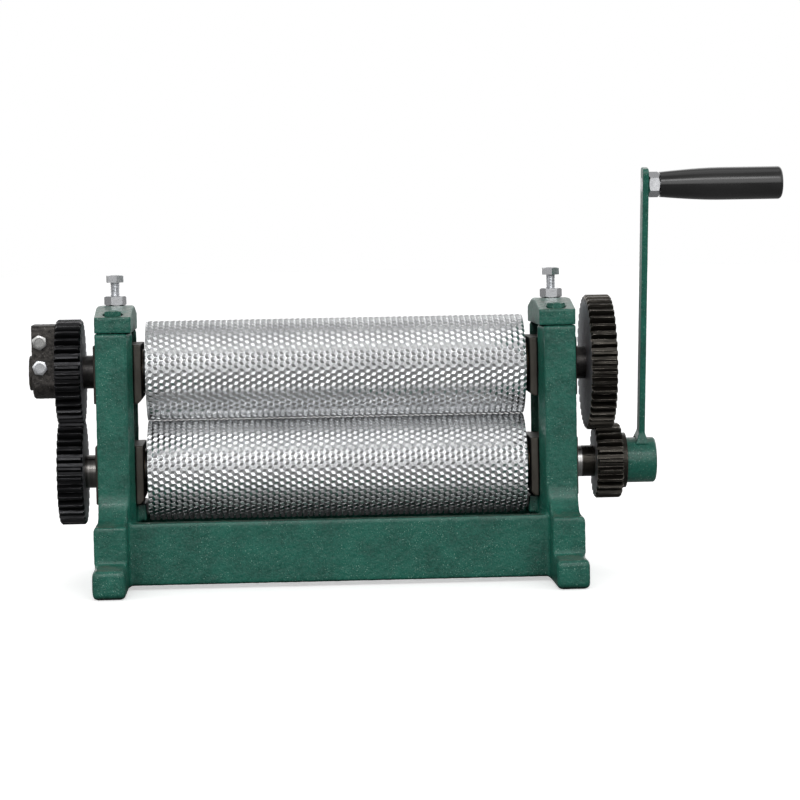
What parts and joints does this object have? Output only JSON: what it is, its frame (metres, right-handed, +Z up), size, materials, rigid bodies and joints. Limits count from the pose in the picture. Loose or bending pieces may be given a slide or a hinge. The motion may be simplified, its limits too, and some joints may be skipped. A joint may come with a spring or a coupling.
{
  "type": "beeswax foundation roller mill",
  "caption": "Hand-cranked bench mill whose two geared, hexagon-embossed aluminium rolls press a wax sheet into honeycomb foundation.",
  "frame": {"origin": "on the bench under the middle of the frame: half way between the two end frames and between the front and back feet", "axes": "+X along the rolls to the crank, +Y to the back, +Z up"},
  "size_m": [0.618, 0.2176, 0.3364],
  "materials": {
    "green_paint": "glossy hammered paint over a cast surface",
    "roll_aluminium": "bright engraved",
    "dark_gear_steel": "oil-blackened",
    "rough_iron": "rough sand cast",
    "block_iron": "machined, brown with age",
    "bright_steel": "turned",
    "zinc_steel": "bright zinc plate",
    "spring_steel": "oiled wire",
    "bronze": "machined bronze",
    "black_bakelite": "moulded, glossy"
  },
  "bodies": {
    "frame": {"frame_casting": "green_paint", "bearing_cap_left": "green_paint", "bearing_cap_right": "green_paint", "cap_bolts": "green_paint", "lower_bearing_block_left": "block_iron", "lower_bearing_block_right": "block_iron", "lower_bush_left": "bronze", "lower_bush_right": "bronze", "lock_nut_left": "zinc_steel", "lock_nut_right": "zinc_steel", "lift_spring_left": "spring_steel", "lift_spring_right": "spring_steel"},
    "upper_carriage": {"upper_bearing_block_left": "block_iron", "upper_bearing_block_right": "block_iron", "upper_bush_left": "bronze", "upper_bush_right": "bronze"},
    "screw_left": {"adjusting_screw_left": "zinc_steel"},
    "screw_right": {"adjusting_screw_right": "zinc_steel"},
    "upper_roll": {"upper_roll_shaft": "bright_steel", "upper_roll_shell": "roll_aluminium", "upper_thrust_washers": "dark_gear_steel", "upper_collar_left": "dark_gear_steel", "upper_collar_right": "dark_gear_steel", "phasing_gear": "dark_gear_steel", "phase_hub": "rough_iron", "phase_pin": "bright_steel", "phase_bolts": "zinc_steel", "phase_clamp_bolt": "zinc_steel", "drive_gear": "dark_gear_steel", "drive_gear_key": "bright_steel", "upper_retaining_ring": "spring_steel"},
    "lower_roll": {"lower_roll_shaft": "bright_steel", "lower_roll_shell": "roll_aluminium", "lower_thrust_washers": "dark_gear_steel", "lower_collar_left": "bright_steel", "timing_gear": "dark_gear_steel", "timing_gear_key": "bright_steel", "lower_retaining_ring": "spring_steel", "crank_end_washer": "zinc_steel", "crank_end_screw": "zinc_steel"},
    "crank": {"pinion": "dark_gear_steel", "drive_dowels": "bright_steel", "crank_hub": "green_paint", "crank_arm": "green_paint", "handle_nut": "zinc_steel", "handle_spindle": "bright_steel"},
    "grip": {"grip": "black_bakelite"}
  },
  "joints": [
    {"name": "gap_slide", "type": "slide", "parent": "frame", "child": "upper_carriage", "axis": [0, 0, 1], "range_m": [0, 0.002], "deforming": ["lift_spring_left", "lift_spring_right"]},
    {"name": "screw_left_turn", "type": "hinge", "parent": "upper_carriage", "child": "screw_left", "pos_m": [-0.1805, 0, 0.25], "axis": [0, 0, 1], "range_deg": [0, 577]},
    {"name": "screw_right_turn", "type": "hinge", "parent": "upper_carriage", "child": "screw_right", "pos_m": [0.1805, 0, 0.25], "axis": [0, 0, 1], "range_deg": [0, 577]},
    {"name": "upper_roll_spin", "type": "hinge", "parent": "upper_carriage", "child": "upper_roll", "pos_m": [0, 0, 0.176], "axis": [1, 0, 0], "continuous": true},
    {"name": "lower_roll_spin", "type": "hinge", "parent": "frame", "child": "lower_roll", "pos_m": [0, 0, 0.0935], "axis": [1, 0, 0], "continuous": true},
    {"name": "crank_spin", "type": "hinge", "parent": "frame", "child": "crank", "pos_m": [0.24, 0, 0.0935], "axis": [1, 0, 0], "continuous": true},
    {"name": "grip_spin", "type": "hinge", "parent": "crank", "child": "grip", "pos_m": [0.31, -0.04486, 0.32214], "axis": [1, 0, 0], "continuous": true}
  ],
  "couplings": [
    {"joint": "screw_left_turn", "follows": "gap_slide", "rad_per_m": 5026.5},
    {"joint": "screw_right_turn", "follows": "gap_slide", "rad_per_m": 5026.5},
    {"joint": "lower_roll_spin", "follows": "upper_roll_spin", "ratio": -1},
    {"joint": "crank_spin", "follows": "upper_roll_spin", "ratio": -1.8696}
  ]
}
